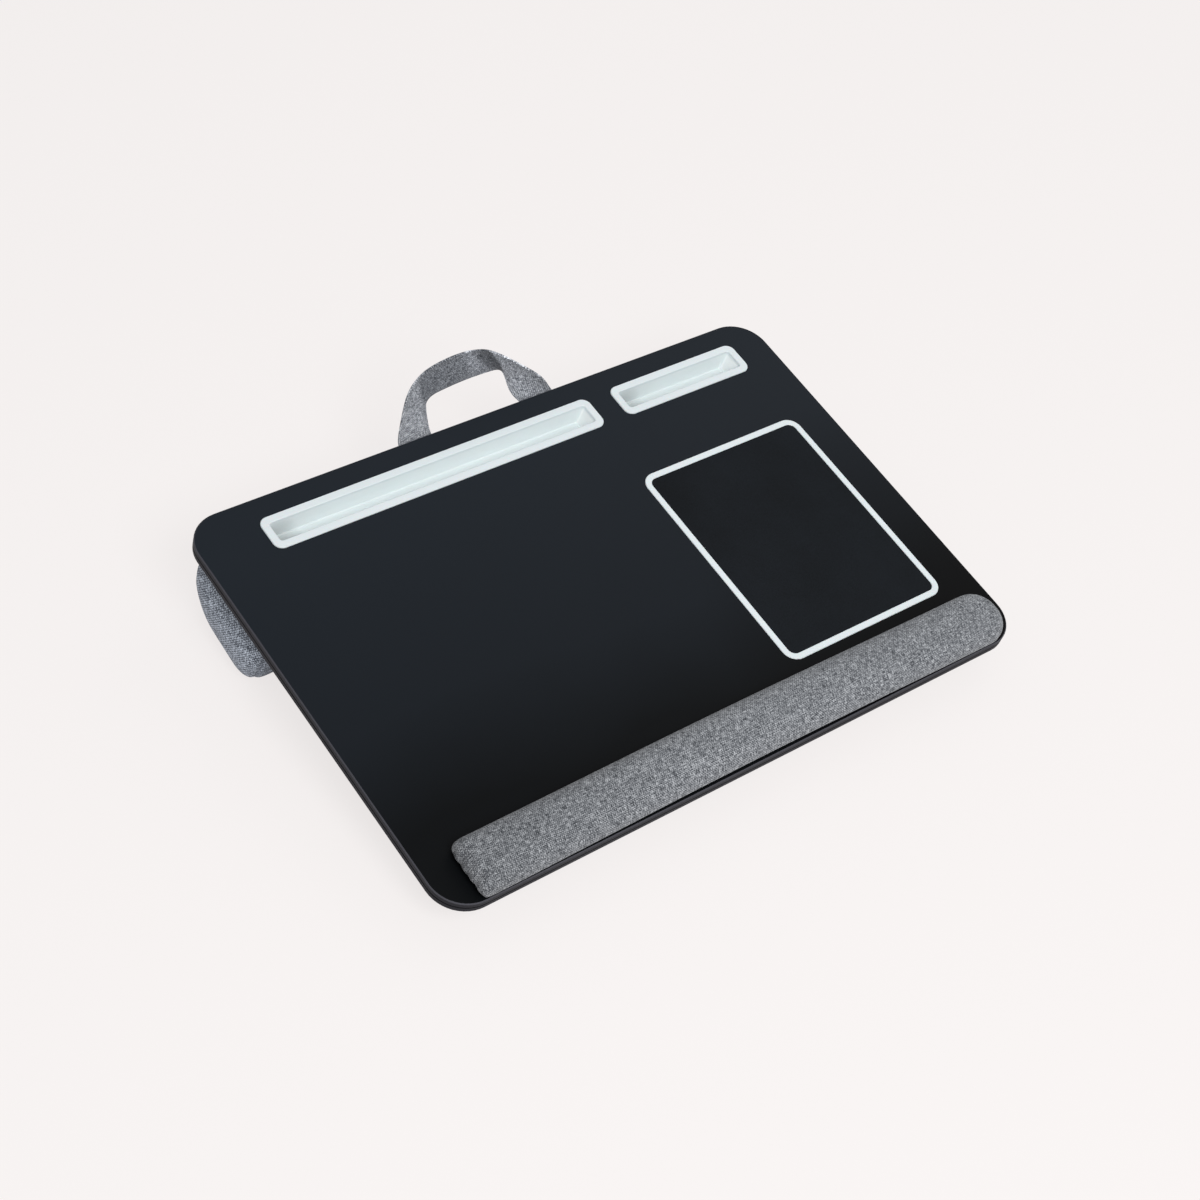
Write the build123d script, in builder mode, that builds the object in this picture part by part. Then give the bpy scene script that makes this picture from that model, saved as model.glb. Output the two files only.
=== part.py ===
from build123d import *
import math
import os

os.makedirs("parts", exist_ok=True)

# Deck: two bonded panels with rounded corners
deck_length = 560.0
deck_depth = 377.0
deck_corner_radius = 30.0
top_panel_thickness = 5.2
base_panel_thickness = 5.2
panel_arris = 0.8
panel_seam_bevel = 0.6

# Stance: the deck leans down towards the user, on the two cushions
deck_tilt = 8.0
deck_height = 60.0

# Slot trays, dropped into cut-outs along the rear of the deck
phone_slot_length = 121.0
slot_width = 18.7
slot_depth = 18.0
slot_corner_radius = 2.6
slot_rim_width = 6.5
slot_rim_height = 1.3
slot_rim_radius = 7.6
slot_rim_bevel = 0.5
slot_wall = 1.8
slot_end_draft_degrees = 9.5
slot_side_draft_degrees = 2.5
slot_floor_bevel = 1.0
tray_fit = 0.3
tray_spacing = 22.8
tablet_tray_margin = 55.2
slot_rear_margin = 26.6
right_margin = 34.0

# Mouse mat in its raised rim, let into the deck
mat_rim_length = 166.0
mat_rim_depth = 205.0
mat_rim_radius = 12.0
mat_rim_band = 5.5
mat_rim_thickness = 1.7
mat_rim_bevel = 0.4
mat_recess = 1.2
mat_thickness = 1.4
mat_fit = 0.2
mat_front_margin = 61.0

# Wrist rest: a padded roll along the front edge
rest_width = 49.5
rest_height = 20.0
rest_belly_height = 2.5
rest_foot_tuck = 1.2
rest_shoulder_share = 0.64
rest_left_margin = 23.5
rest_right_margin = 13.0
rest_front_margin = 0.3
rest_left_round = 9.0
rest_right_round = 24.0
rest_left_face_share = 0.80
rest_right_face_share = 0.45
rest_crown = 0.8
rest_fabric = 1.0
adhesive_thickness = 0.8
adhesive_margin = 6.0
adhesive_radius = 5.0
foam_gap = 0.15

# Lining on the underside, as thick as the strap's tabs let into it
lining_margin = 4.0

# Carry strap: both ends held at the underside, the loop free behind the deck
strap_width = 32.0
strap_thickness = 2.0
strap_span = 122.0
strap_reach = 41.8
strap_rise = 25.0
strap_tab_length = 22.0
strap_edge_gap = 1.8
strap_running_gap = 0.5
strap_nose_ease = 0.05
strap_nose_sides = 12
strap_smooth_degrees = 25.0
tab_notch_fit = 0.3

# Cushions sewn to the lining
cushion_fabric = 1.2
recess_gap = 0.5
rear_cushion_side_margin = 2.0
rear_cushion_depth = 120.0
rear_cushion_margin = 6.5
rear_cushion_slope = 23.0
rear_cushion_rear_radius = 38.0
rear_cushion_front_radius = 12.0
rear_cushion_tuck = 4.0
rear_cushion_roundover = 13.0
rear_cushion_draw_in = 2.5
front_cushion_side_margin = 22.0
front_cushion_depth = 84.0
front_cushion_margin = 20.0
front_cushion_slope = 6.0
front_cushion_rear_radius = 14.0
front_cushion_front_radius = 26.0
front_cushion_tuck = 3.0
front_cushion_roundover = 10.0
front_cushion_draw_in = 2.0

# Small runs past a face for clean cuts
overrun = 1.0

# Levels of a cushion from the lining (0) to the floor (1): depth, tuck and roundover shares
cushion_level_shares = [
    (0.00, 1.00, 0.00),
    (0.30, 0.00, 0.00),
    (0.70, 0.30, 0.00),
    (0.86, 0.30, 0.30),
    (0.95, 0.30, 0.60),
    (1.00, 0.30, 1.10),
]
# Fewer levels inside, where the wall may be a little thicker
inner_level_shares = [cushion_level_shares[index] for index in (0, 1, 2, 4, 5)]
cushion_slope_end_share = 0.95

# Places along a rounded end of the wrist rest, as shares of its length, outside and inside
rest_end_shares = [0.0, 0.14, 0.42, 1.0]
rest_inner_end_shares = [rest_end_shares[index] for index in (0, 2, 3)]
rest_middle_share = 0.50

# Strap stations from the left end to the right: across, back and up as shares of half the
# span, the reach and the rise, then the strap's own turn and lean in degrees
strap_station_shares = [
    (-1.015, 0.00, 0.00, 180, 0),
    (-0.985, 0.19, 0.00, 182, 1),
    (-0.890, 0.43, 0.08, 190, 6),
    (-0.790, 0.65, 0.22, 193, 20),
    (-0.695, 0.82, 0.36, 187, 37),
    (-0.590, 0.92, 0.47, 180, 46),
    (-0.475, 0.98, 0.58, 171, 55),
    (-0.340, 1.00, 0.68, 161, 61),
    (-0.180, 1.00, 0.77, 154, 67),
    (-0.010, 0.99, 0.85, 150, 70),
    (0.155, 0.965, 0.92, 152, 72),
    (0.320, 0.915, 0.98, 164, 71),
    (0.445, 0.86, 1.02, 179, 69),
    (0.540, 0.79, 1.01, 201, 67),
    (0.630, 0.69, 0.94, 231, 65),
    (0.715, 0.565, 0.80, 265, 61),
    (0.805, 0.43, 0.585, 300, 52),
    (0.885, 0.31, 0.32, 331, 35),
    (0.945, 0.18, 0.07, 352, 10),
    (0.990, 0.00, 0.00, 360, 0),
]

# How much the two stations before and the two after count at a halfway one
halfway_weight_shares = (-0.0625, 0.5625, 0.5625, -0.0625)

# Derived sizes
tilt_sine = math.sin(math.radians(deck_tilt))
tilt_cosine = math.cos(math.radians(deck_tilt))
deck_thickness = top_panel_thickness + base_panel_thickness
lining_thickness = strap_thickness
underside = deck_thickness + lining_thickness
hinge_back = deck_depth / 2 + strap_edge_gap + strap_thickness / 2
hinge_drop = deck_thickness + strap_thickness / 2
slot_row = deck_depth / 2 - slot_rear_margin - slot_width / 2
phone_tray_length = phone_slot_length + 2 * slot_rim_width
tablet_tray_length = deck_length - tablet_tray_margin - tray_spacing - phone_tray_length - right_margin
tablet_slot_length = tablet_tray_length - 2 * slot_rim_width
tablet_slot_centre = -deck_length / 2 + tablet_tray_margin + tablet_tray_length / 2
phone_slot_centre = deck_length / 2 - right_margin - phone_tray_length / 2
mat_centre_across = deck_length / 2 - right_margin - mat_rim_length / 2
mat_centre_back = -deck_depth / 2 + mat_front_margin + mat_rim_depth / 2
rest_row = -deck_depth / 2 + rest_front_margin + rest_width / 2
rest_left_end = -deck_length / 2 + rest_left_margin
rest_right_end = deck_length / 2 - rest_right_margin
tray_depth = slot_depth + slot_wall


def halfway_station(index):
    # The station between two neighbours, on a smooth curve through them and the next ones out
    last = len(strap_station_shares) - 1
    around = [strap_station_shares[min(max(index + step, 0), last)] for step in (-1, 0, 1, 2)]
    return [
        sum(weight * value for weight, value in zip(halfway_weight_shares, values))
        for values in zip(*around)
    ]


def strap_stations():
    # The stations, with a halfway one where the strap twists fast from one to the next
    stations = []
    for index, station in enumerate(strap_station_shares[:-1]):
        stations.append(station)
        after = strap_station_shares[index + 1]
        if abs(after[3] - station[3]) + abs(after[4] - station[4]) > strap_smooth_degrees:
            stations.append(halfway_station(index))
    return stations + [strap_station_shares[-1]]


def strap_places():
    # Each station as deck coordinates of its centre and the strap's direction across
    places = []
    for across, back, up, turn, lean in strap_stations():
        x = across * strap_span / 2
        y = hinge_back + back * strap_reach
        z = -hinge_drop + up * strap_rise
        turned = math.radians(turn)
        leaned = math.radians(lean)
        wide = (
            math.cos(leaned) * math.cos(turned),
            math.cos(leaned) * math.sin(turned),
            math.sin(leaned),
        )
        places.append((Vector(x, y, z), Vector(*wide)))
    return places


def strap_back_reach():
    # How far the strap's edges reach behind the deck's centre, level with the floor
    edges = []
    for centre, wide in strap_places():
        for side in (-1, 1):
            edge = centre + wide * (side * strap_width / 2)
            edges.append(edge.Y * tilt_cosine - edge.Z * tilt_sine)
    return max(edges) + strap_thickness / 2


# The origin lies on the floor, midway between the deck's front edge and the strap's back
front_reach = deck_depth / 2 * tilt_cosine - panel_arris * tilt_sine
set_back = (front_reach - strap_back_reach()) / 2
deck_plane = Plane(
    origin=(0, set_back, deck_height),
    x_dir=(1, 0, 0),
    z_dir=(0, -tilt_sine, tilt_cosine),
)
deck_normal = Axis((0, 0, 0), (0, -tilt_sine, tilt_cosine))
deck_backward = Axis((0, 0, 0), (0, tilt_cosine, tilt_sine))


def deck_at(across, back, rise):
    # A plane parallel to the deck's top face, at a place given along the deck
    return Plane(
        origin=deck_plane.from_local_coords((across, back, rise)),
        x_dir=(1, 0, 0),
        z_dir=deck_plane.z_dir,
    )


def cut_tray_openings(panel, depth):
    # Both tray cut-outs through a panel, from above the deck down to the given depth
    with BuildPart() as pierced:
        add(panel)
        for centre, length in (
            (tablet_slot_centre, tablet_slot_length),
            (phone_slot_centre, phone_slot_length),
        ):
            with BuildSketch(deck_at(centre, slot_row, overrun)):
                RectangleRounded(
                    length + 2 * (slot_wall + tray_fit),
                    slot_width + 2 * (slot_wall + tray_fit),
                    slot_corner_radius + slot_wall + tray_fit,
                )
            extrude(amount=-(depth + 2 * overrun), mode=Mode.SUBTRACT)
    return pierced.part


# Upper panel: softened top edge, cut-outs for the trays and a recess for the mat's rim
with BuildPart() as top_blank:
    with BuildSketch(deck_plane):
        RectangleRounded(deck_length, deck_depth, deck_corner_radius)
    extrude(amount=-top_panel_thickness)
    chamfer(top_blank.faces().sort_by(deck_normal)[-1].edges(), panel_arris)
    chamfer(top_blank.faces().sort_by(deck_normal)[0].edges(), panel_seam_bevel)

with BuildPart() as deck_top_panel:
    add(cut_tray_openings(top_blank.part, deck_thickness))
    with BuildSketch(deck_at(mat_centre_across, mat_centre_back, -mat_recess)):
        RectangleRounded(
            mat_rim_length + 2 * mat_fit,
            mat_rim_depth + 2 * mat_fit,
            mat_rim_radius + mat_fit,
        )
    extrude(amount=mat_recess + overrun, mode=Mode.SUBTRACT)
deck_top_panel.part.label = "deck_top_panel"

# Lower panel, bonded under it, with the same outline and cut-outs
with BuildPart() as base_blank:
    with BuildSketch(deck_at(0, 0, -top_panel_thickness)):
        RectangleRounded(deck_length, deck_depth, deck_corner_radius)
    extrude(amount=-base_panel_thickness)
    chamfer(base_blank.faces().sort_by(deck_normal)[-1].edges(), panel_seam_bevel)
    chamfer(base_blank.faces().sort_by(deck_normal)[0].edges(), panel_arris)

with BuildPart() as deck_base_panel:
    add(cut_tray_openings(base_blank.part, deck_thickness))
deck_base_panel.part.label = "deck_base_panel"


def drafted_block(centre, length, width, corner_radius, rise, depth):
    # A block that narrows downwards, its ends more than its sides, with rounded corners
    mouth = deck_at(centre, slot_row, rise)
    with BuildPart() as block:
        with BuildSketch(mouth):
            Rectangle(length, width)
        extrude(amount=-(rise + depth))
        draft(block.faces().filter_by(Axis.X), mouth, -slot_end_draft_degrees)
        draft(block.faces().filter_by(deck_backward), mouth, -slot_side_draft_degrees)
        corners = block.edges().group_by(deck_normal)[1]
        fillet(corners, corner_radius)
    return block.part


def slot_tray(centre, length):
    # A drafted pocket hanging from a raised rim that laps over the deck
    outside = drafted_block(
        centre,
        length + 2 * slot_wall,
        slot_width + 2 * slot_wall,
        slot_corner_radius + slot_wall,
        0,
        tray_depth,
    )
    inside = drafted_block(
        centre,
        length,
        slot_width,
        slot_corner_radius,
        slot_rim_height,
        slot_depth,
    )
    with BuildPart() as tray:
        with BuildSketch(deck_at(centre, slot_row, 0)):
            RectangleRounded(
                length + 2 * slot_rim_width,
                slot_width + 2 * slot_rim_width,
                slot_rim_radius,
            )
        extrude(amount=slot_rim_height)
        add(outside)
        add(inside, mode=Mode.SUBTRACT)
        chamfer(tray.faces().sort_by(deck_normal)[-1].edges(), slot_rim_bevel)
        floor = tray.faces().filter_by(deck_normal).sort_by(deck_normal)[1]
        chamfer(floor.edges(), slot_floor_bevel)
    return tray.part


tablet_slot_tray = slot_tray(tablet_slot_centre, tablet_slot_length)
tablet_slot_tray.label = "tablet_slot_tray"
phone_slot_tray = slot_tray(phone_slot_centre, phone_slot_length)
phone_slot_tray.label = "phone_slot_tray"

# Mouse mat and the raised rim round it
with BuildPart() as mouse_mat_rim:
    with BuildSketch(deck_at(mat_centre_across, mat_centre_back, -mat_recess)):
        RectangleRounded(mat_rim_length, mat_rim_depth, mat_rim_radius)
        RectangleRounded(
            mat_rim_length - 2 * mat_rim_band,
            mat_rim_depth - 2 * mat_rim_band,
            mat_rim_radius - mat_rim_band,
            mode=Mode.SUBTRACT,
        )
    extrude(amount=mat_rim_thickness)
    chamfer(mouse_mat_rim.faces().sort_by(deck_normal)[-1].edges(), mat_rim_bevel)
mouse_mat_rim.part.label = "mouse_mat_rim"

with BuildPart() as mouse_mat:
    with BuildSketch(deck_at(mat_centre_across, mat_centre_back, -mat_recess)):
        RectangleRounded(
            mat_rim_length - 2 * (mat_rim_band + mat_fit),
            mat_rim_depth - 2 * (mat_rim_band + mat_fit),
            mat_rim_radius - mat_rim_band - mat_fit,
        )
    extrude(amount=mat_thickness)
mouse_mat.part.label = "mouse_mat"

# Bonding strip between the wrist rest and the deck
rest_middle = (rest_left_end + rest_right_end) / 2
with BuildPart() as wrist_rest_adhesive:
    with BuildSketch(deck_at(rest_middle, rest_row, 0)):
        RectangleRounded(
            rest_right_end - rest_left_end - 2 * (rest_foot_tuck + adhesive_margin) - rest_right_round,
            rest_width - 2 * (rest_foot_tuck + adhesive_margin),
            adhesive_radius,
        )
    extrude(amount=adhesive_thickness)
wrist_rest_adhesive.part.label = "wrist_rest_adhesive"


def end_size(share, face_share):
    # Size of the roll near an end: the end face at 0, full size at 1, along an ellipse
    return math.sqrt(1 - (1 - share) ** 2 * (1 - face_share**2))


def rest_section(across, size, inset):
    # One cross-section of the roll: flat foot, tucked-in sides, round shoulders, arched top
    half = size * rest_width / 2 - inset
    belly = rest_belly_height * size
    arch = size * rest_height - belly - 2 * inset
    shoulder = rest_shoulder_share * arch
    crown = (half**2 + arch**2 - 2 * half * shoulder) / (2 * (arch - shoulder))
    tuck = rest_foot_tuck * size
    hip = (belly**2 + tuck**2) / (2 * tuck)
    hip_turn = math.degrees(math.asin(belly / hip))
    top_turn = math.degrees(math.atan2(half - shoulder, crown - arch))
    section_plane = Plane(
        origin=deck_plane.from_local_coords((across, rest_row, adhesive_thickness + inset)),
        x_dir=deck_plane.y_dir,
        z_dir=(1, 0, 0),
    )
    with BuildSketch(section_plane) as section:
        with BuildLine():
            right_hip = CenterArc((half - hip, belly), hip, -hip_turn, hip_turn)
            CenterArc((half - shoulder, belly), shoulder, 0, 90 - top_turn)
            CenterArc((0, belly + arch - crown), crown, 90 - top_turn, 2 * top_turn)
            CenterArc((shoulder - half, belly), shoulder, 90 + top_turn, 90 - top_turn)
            left_hip = CenterArc((hip - half, belly), hip, 180, hip_turn)
            Line(left_hip @ 1, right_hip @ 0)
        make_face()
    return section.sketch


def rest_body(inset, end_shares):
    # The roll from its blunt left end to its rounded right end
    places = []
    for share in end_shares:
        size = end_size(share, rest_left_face_share)
        places.append((rest_left_end + inset + share * rest_left_round, size))
    left = rest_left_end + rest_left_round
    right = rest_right_end - rest_right_round
    places.append((left + rest_middle_share * (right - left), 1 + rest_crown / rest_height))
    for share in reversed(end_shares):
        size = end_size(share, rest_right_face_share)
        places.append((rest_right_end - inset - share * rest_right_round, size))
    with BuildPart() as body:
        loft([rest_section(across, size, inset) for across, size in places], ruled=True)
    return body.part


rest_skin = rest_body(0, rest_end_shares)
rest_hollow = rest_body(rest_fabric, rest_inner_end_shares)
with BuildPart() as wrist_rest_cover:
    add(rest_skin)
    add(rest_hollow, mode=Mode.SUBTRACT)
wrist_rest_cover.part.label = "wrist_rest_cover"

wrist_rest_foam = rest_body(rest_fabric + foam_gap, rest_inner_end_shares)
wrist_rest_foam.label = "wrist_rest_foam"


def strap_root_row():
    # Where the strap's two ends cross the hinge line
    return [strap_places()[0][0].X, strap_places()[-1][0].X]


# Lining over the underside, open round the trays and notched for the strap's tabs
tab_end = hinge_back - strap_thickness / 2 - strap_running_gap
with BuildPart() as lining_blank:
    with BuildSketch(deck_at(0, 0, -deck_thickness)):
        RectangleRounded(
            deck_length - 2 * lining_margin,
            deck_depth - 2 * lining_margin,
            deck_corner_radius - lining_margin,
        )
        for root in strap_root_row():
            with Locations((root, tab_end - strap_tab_length / 2)):
                Rectangle(
                    strap_width + 2 * tab_notch_fit,
                    strap_tab_length + 2 * tab_notch_fit,
                    mode=Mode.SUBTRACT,
                )
    extrude(amount=-lining_thickness)
with BuildPart() as underside_lining:
    add(cut_tray_openings(lining_blank.part, underside))
underside_lining.part.label = "underside_lining"


def strap_tab(root):
    # A sewn-down strap end, let into the lining
    with BuildPart() as tab:
        with BuildSketch(deck_at(root, tab_end - strap_tab_length / 2, -deck_thickness)):
            Rectangle(strap_width, strap_tab_length)
        extrude(amount=-strap_thickness)
    return tab.part


strap_tab_left = strap_tab(strap_root_row()[0])
strap_tab_left.label = "strap_tab_left"
strap_tab_right = strap_tab(strap_root_row()[1])
strap_tab_right.label = "strap_tab_right"

# Carry strap: a flat band that twists up on edge round the hand, and back down
places = strap_places()
strap_sections = []
for index, (centre, wide) in enumerate(places):
    before = places[max(index - 1, 0)][0]
    after = places[min(index + 1, len(places) - 1)][0]
    along = Vector(0, 1, 0) if index == 0 else Vector(0, -1, 0)
    if 0 < index < len(places) - 1:
        along = (after - before).normalized()
    along = (along - wide * along.dot(wide)).normalized()
    station = Plane(
        origin=deck_plane.from_local_coords(centre),
        x_dir=deck_plane.from_local_coords(wide) - deck_plane.origin,
        z_dir=deck_plane.from_local_coords(along) - deck_plane.origin,
    )
    with BuildSketch(station) as band:
        Rectangle(strap_width, strap_thickness)
    strap_sections.append(band.sketch)

with BuildPart() as carry_strap:
    loft(strap_sections, ruled=True)
    for root in strap_root_row():
        nose_start = deck_plane.from_local_coords((root - strap_width / 2, hinge_back, -hinge_drop))
        with BuildSketch(Plane(origin=nose_start, x_dir=deck_plane.y_dir, z_dir=(1, 0, 0))):
            RegularPolygon(strap_thickness / 2 - strap_nose_ease, strap_nose_sides)
        extrude(amount=strap_width)
carry_strap.part.label = "carry_strap"


def cushion_block(sizes, inset, level_shares=cushion_level_shares):
    # A stuffed block: tucked in at its seam, swelling below it, rounded down to a flat base.
    # Its levels fan from the tilted lining to the level floor, and its long sides draw in.
    top = deck_plane.from_local_coords((0, sizes["row"], -underside - inset))
    with BuildPart() as block:
        for share, tuck_share, round_share in level_shares:
            lean = math.radians(deck_tilt * (1 - share))
            height = top.Z + (inset - top.Z) * share
            pull = tuck_share * sizes["tuck"] + round_share * sizes["roundover"] + inset
            sloped = min(share / cushion_slope_end_share, 1)
            front = -sizes["depth"] / 2 + pull + sizes["front_slope"] * sloped
            rear = sizes["depth"] / 2 - pull - sizes["rear_slope"] * sloped
            side = sizes["length"] / 2 - pull
            level = Plane(
                origin=(0, top.Y, height),
                x_dir=(1, 0, 0),
                z_dir=(0, -math.sin(lean), math.cos(lean)),
            )
            with BuildSketch(level) as outline:
                with BuildLine():
                    Line((-side, rear), (-side, front))
                    ThreePointArc((-side, front), (0, front + sizes["draw_in"]), (side, front))
                    Line((side, front), (side, rear))
                    ThreePointArc((side, rear), (0, rear - sizes["draw_in"]), (-side, rear))
                make_face()
                fillet(outline.vertices().group_by(Axis.Y)[0], sizes["front_radius"] - inset)
                fillet(outline.vertices().group_by(Axis.Y)[-1], sizes["rear_radius"] - inset)
        loft(ruled=True)
    return block.part


def press_tray_recesses(block, gap):
    # Room in the cushion's top for the trays that reach down into it
    with BuildPart() as pressed:
        add(block)
        for centre, length in (
            (tablet_slot_centre, tablet_slot_length),
            (phone_slot_centre, phone_slot_length),
        ):
            with BuildSketch(deck_at(centre, slot_row, -tray_depth - gap)):
                RectangleRounded(
                    length + 2 * (slot_wall + gap),
                    slot_width + 2 * (slot_wall + gap),
                    slot_corner_radius + slot_wall + gap,
                )
            extrude(amount=tray_depth + gap, mode=Mode.SUBTRACT)
    return pressed.part


rear_cushion = {
    "row": deck_depth / 2 - rear_cushion_margin - rear_cushion_depth / 2,
    "length": deck_length - 2 * rear_cushion_side_margin,
    "depth": rear_cushion_depth,
    "front_slope": rear_cushion_slope,
    "rear_slope": 0,
    "front_radius": rear_cushion_front_radius,
    "rear_radius": rear_cushion_rear_radius,
    "tuck": rear_cushion_tuck,
    "roundover": rear_cushion_roundover,
    "draw_in": rear_cushion_draw_in,
}
front_cushion = {
    "row": -deck_depth / 2 + front_cushion_margin + front_cushion_depth / 2,
    "length": deck_length - 2 * front_cushion_side_margin,
    "depth": front_cushion_depth,
    "front_slope": 0,
    "rear_slope": front_cushion_slope,
    "front_radius": front_cushion_front_radius,
    "rear_radius": front_cushion_rear_radius,
    "tuck": front_cushion_tuck,
    "roundover": front_cushion_roundover,
    "draw_in": front_cushion_draw_in,
}

# Deep rear cushion: a sewn cover round its filling, pressed in under the trays
rear_hollow = press_tray_recesses(
    cushion_block(rear_cushion, cushion_fabric, inner_level_shares),
    recess_gap + cushion_fabric,
)
with BuildPart() as rear_cushion_cover:
    add(press_tray_recesses(cushion_block(rear_cushion, 0), recess_gap))
    add(rear_hollow, mode=Mode.SUBTRACT)
rear_cushion_cover.part.label = "rear_cushion_cover"

filling_inset = cushion_fabric + foam_gap
rear_cushion_filling = press_tray_recesses(
    cushion_block(rear_cushion, filling_inset, inner_level_shares),
    recess_gap + filling_inset,
)
rear_cushion_filling.label = "rear_cushion_filling"

# Low front cushion
front_skin = cushion_block(front_cushion, 0)
front_hollow = cushion_block(front_cushion, cushion_fabric, inner_level_shares)
with BuildPart() as front_cushion_cover:
    add(front_skin)
    add(front_hollow, mode=Mode.SUBTRACT)
front_cushion_cover.part.label = "front_cushion_cover"

front_cushion_filling = cushion_block(front_cushion, filling_inset, inner_level_shares)
front_cushion_filling.label = "front_cushion_filling"

pieces = [
    deck_top_panel.part,
    deck_base_panel.part,
    tablet_slot_tray,
    phone_slot_tray,
    mouse_mat_rim.part,
    mouse_mat.part,
    wrist_rest_cover.part,
    wrist_rest_foam,
    wrist_rest_adhesive.part,
    underside_lining.part,
    rear_cushion_cover.part,
    rear_cushion_filling,
    front_cushion_cover.part,
    front_cushion_filling,
    strap_tab_left,
    strap_tab_right,
    carry_strap.part,
]
for piece in pieces:
    export_step(piece, f"parts/{piece.label}.step")

print("hinge line", deck_plane.from_local_coords((0, hinge_back, -hinge_drop)))
print("deck centre", deck_plane.origin)
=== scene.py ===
import bpy
import bmesh
import math
from mathutils import Matrix, Vector


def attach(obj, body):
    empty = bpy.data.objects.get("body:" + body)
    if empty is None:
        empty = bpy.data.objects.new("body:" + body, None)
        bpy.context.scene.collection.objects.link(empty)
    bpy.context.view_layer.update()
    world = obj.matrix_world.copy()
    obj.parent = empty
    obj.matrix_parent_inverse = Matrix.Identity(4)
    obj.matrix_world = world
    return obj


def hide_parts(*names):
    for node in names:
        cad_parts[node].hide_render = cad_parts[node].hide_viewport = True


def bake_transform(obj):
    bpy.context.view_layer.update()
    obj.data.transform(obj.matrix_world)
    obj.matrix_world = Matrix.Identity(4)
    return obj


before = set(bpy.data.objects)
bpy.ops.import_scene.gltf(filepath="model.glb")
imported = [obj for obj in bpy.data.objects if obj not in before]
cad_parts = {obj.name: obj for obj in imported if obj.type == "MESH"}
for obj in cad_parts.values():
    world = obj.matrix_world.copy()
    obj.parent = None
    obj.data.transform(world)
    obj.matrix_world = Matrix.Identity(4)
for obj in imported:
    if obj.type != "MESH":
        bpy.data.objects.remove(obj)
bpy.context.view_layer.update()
mm = 0.001

# The deck leans towards the user; pieces on it are modelled level, then laid on it
deck = {
    "tilt": 8.0,
    "centre": (0.0, -22.526 * mm, 60 * mm),
    "thickness": 10.4 * mm,
    "lining": 2.0 * mm,
    "slotRow": 152.55 * mm,
}
deckMatrix = Matrix.Translation(deck["centre"]) @ Matrix.Rotation(math.radians(deck["tilt"]), 4, "X")
deckInverse = deckMatrix.inverted()
deckUp = deckMatrix.to_3x3() @ Vector((0, 0, 1))
underside = deck["thickness"] + deck["lining"]


def deckPoint(x, y, z):  # where a place on the level deck comes to stand
    return deckMatrix @ Vector((x, y, z))


def belowLining(place):  # how far a place is under the lining
    return -(deckInverse @ place).z - underside


def clamped(value):  # kept between 0 and 1
    return min(max(value, 0), 1)


def bell(value):  # 1 at zero, and less and less to both sides
    return math.exp(-value ** 2)


def onlyThis(piece):  # select one piece and nothing else
    if bpy.context.object and bpy.context.object.mode != "OBJECT":
        bpy.ops.object.mode_set(mode="OBJECT")
    bpy.ops.object.select_all(action="DESELECT")
    piece.select_set(True)
    bpy.context.view_layer.objects.active = piece


def freshPiece(name):  # the primitive that was just added, under its own name
    piece = bpy.context.object
    piece.name = name
    piece.data.name = name
    onlyThis(piece)
    return piece


def addBlock(name, middle, sizes):
    bpy.ops.object.select_all(action="DESELECT")
    bpy.ops.mesh.primitive_cube_add(size=1, location=middle)
    block = freshPiece(name)
    block.scale = sizes
    bpy.ops.object.transform_apply(location=True, rotation=True, scale=True)
    return block


def editEdges(piece, test):  # in edit mode, select the edges whose ends both pass the test
    bpy.ops.object.mode_set(mode="EDIT")
    bpy.ops.mesh.select_mode(type="EDGE")
    bpy.ops.mesh.select_all(action="DESELECT")
    mesh = bmesh.from_edit_mesh(piece.data)
    for edge in mesh.edges:
        edge.select_set(test(edge.verts[0].co, edge.verts[1].co))
    bmesh.update_edit_mesh(piece.data)


def bevelEdges(piece, test, size, segments):
    editEdges(piece, test)
    bpy.ops.mesh.bevel(offset=size, segments=segments, profile=0.5)
    bpy.ops.object.mode_set(mode="OBJECT")


def applyModifiers(piece):
    onlyThis(piece)
    for modifier in list(piece.modifiers):
        bpy.ops.object.modifier_apply(modifier=modifier.name)


def modified(piece, kind, **values):  # add one modifier and apply it
    modifier = piece.modifiers.new(kind.lower(), kind)
    for key, value in values.items():
        setattr(modifier, key, value)
    applyModifiers(piece)


def layOnDeck(piece):
    piece.data.transform(deckMatrix)
    piece.data.update()


def giveMaterial(piece, material):
    piece.data.materials.clear()
    piece.data.materials.append(material)


# Materials

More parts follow.
